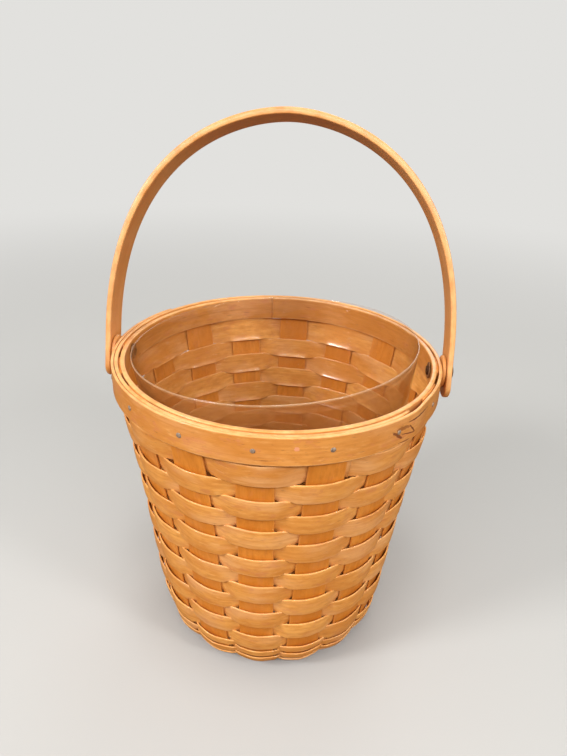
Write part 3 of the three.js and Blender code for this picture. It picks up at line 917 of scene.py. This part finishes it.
    def lap_offset(self, stakes, sizes):
        """The ends lap behind a stake: the first end lies inside the last."""
        step = sizes.weaver_thickness + 0.3 * sizes.clearance
        return -step * (1 - smooth_step(self.lap, self.lap + 0.3, stakes))


class BASKET_OT_rim(Operator):
    """Bend the inner rim band, and wind the outer band once and a half round"""
    bl_idname = "basket.rim"
    bl_label = "Rim bands"

    # Along the band from its tip, across it, half length, half height, lean in degrees, strength
    marks = (
        (0.3086, 0.0019, 0.0050, 0.0013, -5, 0.6),
        (0.3172, -0.0015, 0.0046, 0.0005, -48, 0.9),
        (0.3138, -0.0033, 0.0067, 0.0004, -14, 0.85),
        (0.3048, -0.0017, 0.0052, 0.0010, -37, 0.85),
        (0.3241, 0.0040, 0.0105, 0.0006, -1, 0.95),
        (0.3107, -0.0074, 0.0044, 0.0005, -2, 0.7),
        (0.2300, -0.0055, 0.0060, 0.0003, 2, 0.5),
    )
    plug = (0.2456, 0.0023, 0.0015, 0.0014, 0)
    # How far the marks sink into the grain's height, and how far noise moves their outlines
    mark_depth = 2.5
    raggedness = 2.4
    # Half the gap in the inner band's seam, and the round of that band's edges
    seam_gap = 0.00007
    inner_rounding = 0.0006
    # The outer band's ends: where they reach full thickness, by turn, and how thin they start
    taper_reach = 0.10
    thinnest = 0.55

    def execute(self, context):
        sizes = shape()
        plain = self.band_material("Rim band wood")[0]
        marked = self.marked_material()
        stands_for(self.inner_band(sizes), "inner_rim_band", "basket", plain)
        stands_for(self.outer_band(sizes), "outer_rim_band", "basket", marked)
        return {"FINISHED"}

    def band_material(self, name):
        return wood_material(name, "band", 0.4, 0.15,
                             Streaks=0.5, Flecks=0.7, Clouds=0.6, Scuffs=0.35, Wear=0.5)

    def marked_material(self):
        """The band's wood with a knot and its cracks, and a filled hole, on its front."""
        material, shader, nodes, grain, bump = self.band_material("Marked rim band wood")
        place = nodes.attribute("grain", "Vector")
        rough = nodes.noise(place, (260, 420, 1), 4.0, 0.7)
        dark = 0.0
        for *shape_of_mark, strength in self.marks:
            mark = self.mark(nodes, place, rough, *shape_of_mark)
            dark = nodes.math("MAXIMUM", dark, nodes.times(mark, strength))
        plug = nodes.times(self.mark(nodes, place, rough, *self.plug), 0.8)
        plugged = nodes.mix(plug, grain.outputs["Color"], paint("plug"))
        nodes.feed(shader, "Base Color", nodes.mix(dark, plugged, paint("knot")))
        sunk = nodes.times(dark, self.mark_depth)
        nodes.feed(bump, "Height", nodes.minus(grain.outputs["Height"], sunk))
        return material

    def mark(self, nodes, place, rough, along, across, half_length, half_height, lean):
        """1 inside a ragged oval at a place on the band, given in the grain's coordinates."""
        oval = nodes.add("ShaderNodeMapping", {"vector_type": "TEXTURE"})
        nodes.feed_all(oval, {
            "Vector": place,
            "Location": (along, across, 0),
            "Rotation": (0, 0, radians(lean)),
            "Scale": (half_length, half_height, 1e6),
        })
        stray = nodes.times(nodes.minus(rough, 0.5), self.raggedness)
        return nodes.spread(nodes.plus(nodes.distance(oval.outputs[0]), stray), 1.15, 0.75)

    def inner_band(self, sizes):
        outer_face = sizes.shoulder_radius - sizes.stake_thickness / 2 - 0.3 * sizes.clearance
        inner_face = outer_face - sizes.inner_band_thickness
        count = 260
        gap = self.seam_gap / inner_face
        turn = np.linspace(gap, 2 * pi - gap, count)
        thickness = sizes.inner_band_thickness + 0.3 * sizes.unevenness * drift(21, turn, 7, 2 * pi)
        section = Section()
        across, through = section.points(BAND_HEIGHT, thickness, self.inner_rounding)
        radius = inner_face + sizes.inner_band_thickness / 2 + through
        height = BAND_MIDDLE + across + 0.4 * sizes.unevenness * drift(22, turn, 6, 2 * pi)[:, None]
        rings = on_wall(radius, INNER_SEAM + turn[:, None], height)
        grain = grain_places(turn[:, None] * inner_face, across, 71)
        return loft("inner_rim_band_wood", rings, grain, section)

    def outer_band(self, sizes):
        sweep = 2 * pi + OUTER_OVERLAP
        count = 420
        turn = np.linspace(0, sweep, count)
        ends = smooth_step(-0.02, self.taper_reach, np.minimum(turn, sweep - turn))
        thickness = sizes.outer_band_thickness * (self.thinnest + (1 - self.thinnest) * ends)
        lift = sizes.under_layer_lift * smooth_step(pi, 1.7 * pi, turn)
        width = BAND_HEIGHT + lift + 0.8 * sizes.unevenness * drift(31, turn, 9, sweep)
        rounding = 0.3 * thickness
        under_from = OUTER_OVERLAP + OUTER_STEP
        fill = sizes.under_layer_fill * smooth_step(under_from, under_from + radians(28), turn)
        inner = outer_band_inner(sizes, turn) - fill
        thickness = thickness + fill
        section = Section()
        across, through = section.points(width, thickness, rounding)
        radius = (inner + thickness / 2)[:, None] + through
        height = BAND_MIDDLE + (outer_band_rise(turn) + lift / 2)[:, None] + across
        rings = on_wall(radius, OUTER_TIP + turn[:, None], height)
        grain = grain_places(turn[:, None] * (inner + fill)[-1], across, 83)
        return loft("outer_rim_band_wood", rings, grain, section)


class BASKET_OT_tacks(Operator):
    """Dress the tacks that pin the rim bands to the stakes"""
    bl_idname = "basket.tacks"
    bl_label = "Rim tacks"

    head = 0.0016
    crown = 0.0005
    shank = 0.0007
    # How far the shank's tip, its narrow end and its full width lie in from the band's face
    shank_reach = (0.0058, 0.005, 0.004)

    def execute(self, context):
        sizes = shape()
        material = metal_material("Tack steel", "tack", 0.42, 0.45)
        number = 0
        for stake in range(STAKES):
            angle = stake_angle(stake)
            if abs(sin(angle)) * sizes.shoulder_radius < sizes.stake_width / 2:
                # A hinge's rivet holds this stake
                continue
            number += 1
            node = f"rim_tack_{number}"
            turn = (angle - OUTER_TIP) % (2 * pi)
            face = float(outer_band_inner(sizes, turn)) + sizes.outer_band_thickness
            piece = self.tack(node, number, face)
            point_outward(piece, angle, BAND_MIDDLE)
            stands_for(piece, node, "basket", material)
        return {"FINISHED"}

    def tack(self, node, number, face):
        """A cut tack: its shank runs in from the face of the band, and its flat head lies on it."""
        random = np.random.RandomState(600 + number)
        head = self.head * random.uniform(0.9, 1.08)
        tip, narrow, full = (face - reach for reach in self.shank_reach)
        profile = [(0, tip), (0.6 * self.shank, narrow), (self.shank, full), (self.shank, face)]
        profile += [(0.97 * head, face), (head, face + 0.15 * self.crown)]
        profile += arc(0, face, head, self.crown, np.radians((25, 45, 62, 78)))
        profile.append((0, face + self.crown))
        return turned(f"{node}_head", profile, 24, seed=number)


class BASKET_OT_handle(Operator):
    """Bend the swing handle"""
    bl_idname = "basket.handle"
    bl_label = "Handle"

    steps = 190
    # How thick the wood is at the very ends, as a share of its thickness beside them
    end_share = 0.72

    def execute(self, context):
        sizes = shape()
        material = wood_material("Handle wood", "handle", 0.5, 0.3,
                                 Streaks=0.5, Flecks=0.5, Clouds=0.6, Scuffs=0.3, Wear=0.4)[0]
        line = self.middle_line(sizes)
        distance, tangent = along_line(line)
        total = distance[-1]
        end_round = sizes.handle_end_round
        ends = end_round * (1 - np.cos(np.radians(np.arange(8, 91, 7))))
        body = np.linspace(ends[-1], total - ends[-1], self.steps)[1:-1]
        places = np.concatenate([ends, body, (total - ends)[::-1]])
        turn = np.arccos(np.clip(1 - np.minimum(places, total - places) / end_round, -1, 1))
        turn = np.minimum(turn, pi / 2)
        width = (sizes.handle_width + 0.6 * sizes.unevenness * drift(41, places, 6, total)) * np.sin(turn)
        legs = sizes.handle_end + sizes.handle_straight
        arch = np.clip((places - legs) / (total - 2 * legs), 0, 1)
        fuller = (sizes.handle_thickness - sizes.handle_end_thickness) * np.sin(pi * arch)
        thinned = self.end_share + (1 - self.end_share) * np.sin(turn)
        thickness = (sizes.handle_end_thickness + fuller) * thinned
        rounding = np.minimum(sizes.handle_rounding, 0.42 * width)
        section = Section((-1, -0.93, -0.75, -0.5, -0.2, 0.2, 0.5, 0.75, 0.93, 1), (75, 55, 35, 15))
        across, through = section.points(width, thickness, rounding)
        x, rise, ahead_x, ahead_up = read_off(places[:, None], distance, *line.T, *tangent.T)
        up = rise + ahead_x * through
        rings = np.stack([
            x - ahead_up * through,
            across * cos(HANDLE_LEAN) + up * sin(HANDLE_LEAN),
            HINGE_HEIGHT + up * cos(HANDLE_LEAN) - across * sin(HANDLE_LEAN),
        ], axis=-1)
        grain = grain_places(places[:, None], across + 0.7 * through, 97)
        piece = loft("handle_wood", rings, grain, section)
        stands_for(piece, "handle", "handle", material)
        return {"FINISHED"}

    def middle_line(self, sizes):
        """The handle's middle line in its own plane: across the basket, and up from the hinge line."""
        seat = sizes.clearance + sizes.handle_end_thickness / 2
        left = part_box("left_handle_spacer")[0].x - seat
        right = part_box("right_handle_spacer")[1].x + seat
        middle = (left + right) / 2
        straight = np.linspace(-sizes.handle_end, sizes.handle_straight, 20)
        rise = sizes.handle_straight + sizes.handle_side_reach
        top = sizes.handle_height
        left_arch = cubic((left, sizes.handle_straight), (left, rise),
                          (left + sizes.handle_top_reach, top), (middle, top), 160)
        right_arch = cubic((middle, top), (right - sizes.handle_top_reach, top),
                           (right, rise), (right, sizes.handle_straight), 160)
        left_leg = np.column_stack([np.full(20, left), straight])
        right_leg = np.column_stack([np.full(20, right), straight[::-1]])
        return np.vstack([left_leg[:-1], left_arch[:-1], right_arch[:-1], right_leg])


class BASKET_OT_hinges(Operator):
    """Dress the handle's rivets, washers and spacer discs"""
    bl_idname = "basket.hinges"
    bl_label = "Handle hinges"

    head = 0.0052
    dome = 0.0016
    shank = 0.002
    hole = 0.0023
    # The rivet's clenched end: radius, and distance from its tip
    clench = ((0, 0), (0.0018, 0.00005), (0.0028, 0.0003), (0.0032, 0.0007), (0.0031, 0.001))

    def execute(self, context):
        metal = metal_material("Rivet metal", "rivet", 0.38, 0.6)
        washer_metal = metal_material("Washer metal", "washer", 0.5, 0.3)
        wood = wood_material("Spacer wood", "handle", 0.2, 0.3,
                             Streaks=0.5, Flecks=0.5, Clouds=0.5, Scuffs=0.0, Wear=0.0)[0]
        for side, angle in (("right", 0.0), ("left", pi)):
            outward = Vector((cos(angle), 0, 0))
            rivet = self.rivet(side, outward)
            spacer = self.disc(f"{side}_handle_spacer", outward, 0.0006)
            washer = self.disc(f"{side}_rivet_washer", outward, 0.0002)
            for piece, node, slot, material in (
                (rivet, f"{side}_handle_rivet", "rivet_metal", metal),
                (spacer, f"{side}_handle_spacer", "handle_wood", wood),
                (washer, f"{side}_rivet_washer", "rivet_metal", washer_metal),
            ):
                point_outward(piece, angle, HINGE_HEIGHT)
                stands_for(piece, node, "basket", material)
        return {"FINISHED"}

    def reach(self, node, outward):
        """How far out from the basket's axis a node starts and ends."""
        low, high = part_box(node)
        near, far = sorted((low.dot(outward), high.dot(outward)))
        return near, far

    def rivet(self, side, outward):
        near, far = self.reach(f"{side}_handle_rivet", outward)
        under_head = far - self.dome
        profile = [(radius, near + reach) for radius, reach in self.clench]
        profile += [(self.shank, profile[-1][1]), (self.shank, under_head)]
        profile += [(0.97 * self.head, under_head), (self.head, far - 0.86 * self.dome)]
        profile += arc(0, under_head, self.head, self.dome, np.radians((18, 32, 46, 60, 74)))
        profile.append((0, far))
        return turned(f"{side}_handle_rivet_metal", profile, 40, seed=5)

    def disc(self, node, outward, edge):
        """A round disc with a hole for the rivet, its outer edges rounded by so much."""
        near, far = self.reach(node, outward)
        low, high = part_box(node)
        radius = (high.z - low.z) / 2
        profile = [(self.hole, near), (radius - edge, near), (radius - 0.3 * edge, near + 0.3 * edge),
                   (radius, near + edge), (radius, far - edge), (radius - 0.3 * edge, far - 0.3 * edge),
                   (radius - edge, far), (self.hole, far), (self.hole, near)]
        return turned(f"{node}_disc", profile, 48, seed=9)


class BASKET_OT_liner(Operator):
    """Mould the clear liner"""
    bl_idname = "basket.liner"
    bl_label = "Liner"

    def execute(self, context):
        sizes = shape()
        way = Vector((cos(LINER_LEAN_TOWARD), sin(LINER_LEAN_TOWARD), 0))
        axis = Vector((way.x * sin(LINER_LEAN), way.y * sin(LINER_LEAN), cos(LINER_LEAN)))
        mouth = way * sizes.liner_shift + Vector((0, 0, RIM_HEIGHT + sizes.liner_rise))
        seat = Vector((0, 0, self.seat_height(sizes)))
        depth = (mouth - seat).dot(axis)
        piece = turned("liner_shell", self.profile(sizes, depth), 144)
        self.mark_outside(piece.data)
        turn = Vector((0, 0, 1)).rotation_difference(axis).to_matrix().to_4x4()
        piece.data.transform(Matrix.Translation(mouth - depth * axis) @ turn)
        stands_for(piece, "liner", "liner", liner_material(depth))
        return {"FINISHED"}

    def seat_height(self, sizes):
        """How high the leaning floor of the liner clears the crossed splints."""
        height = 0
        for splint in range(SPLINTS):
            turn = LINER_LEAN_TOWARD - stake_angle(splint)
            reach = sizes.waist_half * abs(cos(turn)) + sizes.waist_width / 2 * abs(sin(turn))
            top = (sizes.stake_thickness + sizes.clearance) * splint + sizes.stake_thickness
            height = max(height, top + reach * tan(LINER_LEAN))
        return height + sizes.clearance

    def mark_outside(self, mesh):
        """Sets the edge value to 1 on the outside, which rubs on the basket and takes the brown veil of scuff
        haze and painted reflection.
        """
        for corner, value in zip(mesh.vertices, mesh.attributes["edge"].data):
            outward = Vector((corner.co.x, corner.co.y, 0))
            value.value = float(corner.normal.dot(outward) > 0 or corner.normal.z < -0.5)

    def profile(self, sizes, depth):
        """Outside from the floor up, over the lip and down the inside: radius and height."""
        fillet = sizes.liner_fillet
        wall = sizes.liner_wall
        slope = (sizes.liner_radius - sizes.liner_foot) / depth
        taper = atan(slope)
        centre = sizes.liner_radius - (depth - fillet * (1 - sin(taper))) * slope - fillet * cos(taper)
        turns = np.linspace(-pi / 2, -taper, 12)
        outer = arc(centre, fillet, fillet, fillet, turns)
        inner = arc(centre, fillet, fillet - wall, fillet - wall, turns)
        shares = np.linspace(0, 1, 14)[1:]
        bead = wall / 2
        top_outer = (sizes.liner_radius, depth - bead)
        top_inner = (sizes.liner_radius - wall / cos(taper), depth - bead)
        for side, top in ((outer, top_outer), (inner, top_inner)):
            foot = np.array(side[-1])
            side += [tuple(foot * (1 - share) + np.array(top) * share) for share in shares]
        middle = (top_outer[0] + top_inner[0]) / 2
        lip = arc(middle, depth - bead, bead, bead, np.radians((30, 60, 90, 120, 150)))
        return [(0, 0), *outer, *lip, *reversed(inner), (0, wall)]


class BASKET_PT_panel(Panel):
    """The steps that dress the basket, in order"""
    bl_idname = "BASKET_PT_panel"
    bl_label = "Woven splint basket"
    bl_space_type = "VIEW_3D"
    bl_region_type = "UI"
    bl_category = "Basket"

    def draw(self, context):
        for step in STEPS:
            self.layout.operator(step.bl_idname)
        for settings in (context.scene.basket_shape, context.scene.basket_colours):
            box = self.layout.box()
            for name in settings.__annotations__:
                box.prop(settings, name)


STEPS = (
    BASKET_OT_stage, BASKET_OT_stakes, BASKET_OT_weavers, BASKET_OT_rim, BASKET_OT_tacks,
    BASKET_OT_handle, BASKET_OT_hinges, BASKET_OT_liner,
)
CLASSES = (BASKET_PG_shape, BASKET_PG_colours, *STEPS, BASKET_PT_panel)


def register():
    for item in CLASSES:
        bpy.utils.register_class(item)
    bpy.types.Scene.basket_shape = PointerProperty(type=BASKET_PG_shape)
    bpy.types.Scene.basket_colours = PointerProperty(type=BASKET_PG_colours)


def unregister():
    del bpy.types.Scene.basket_colours
    del bpy.types.Scene.basket_shape
    for item in reversed(CLASSES):
        bpy.utils.unregister_class(item)


def main():
    register()
    for step in STEPS:
        group, name = step.bl_idname.split(".")
        getattr(getattr(bpy.ops, group), name)()


if __name__ == "__main__":
    main()
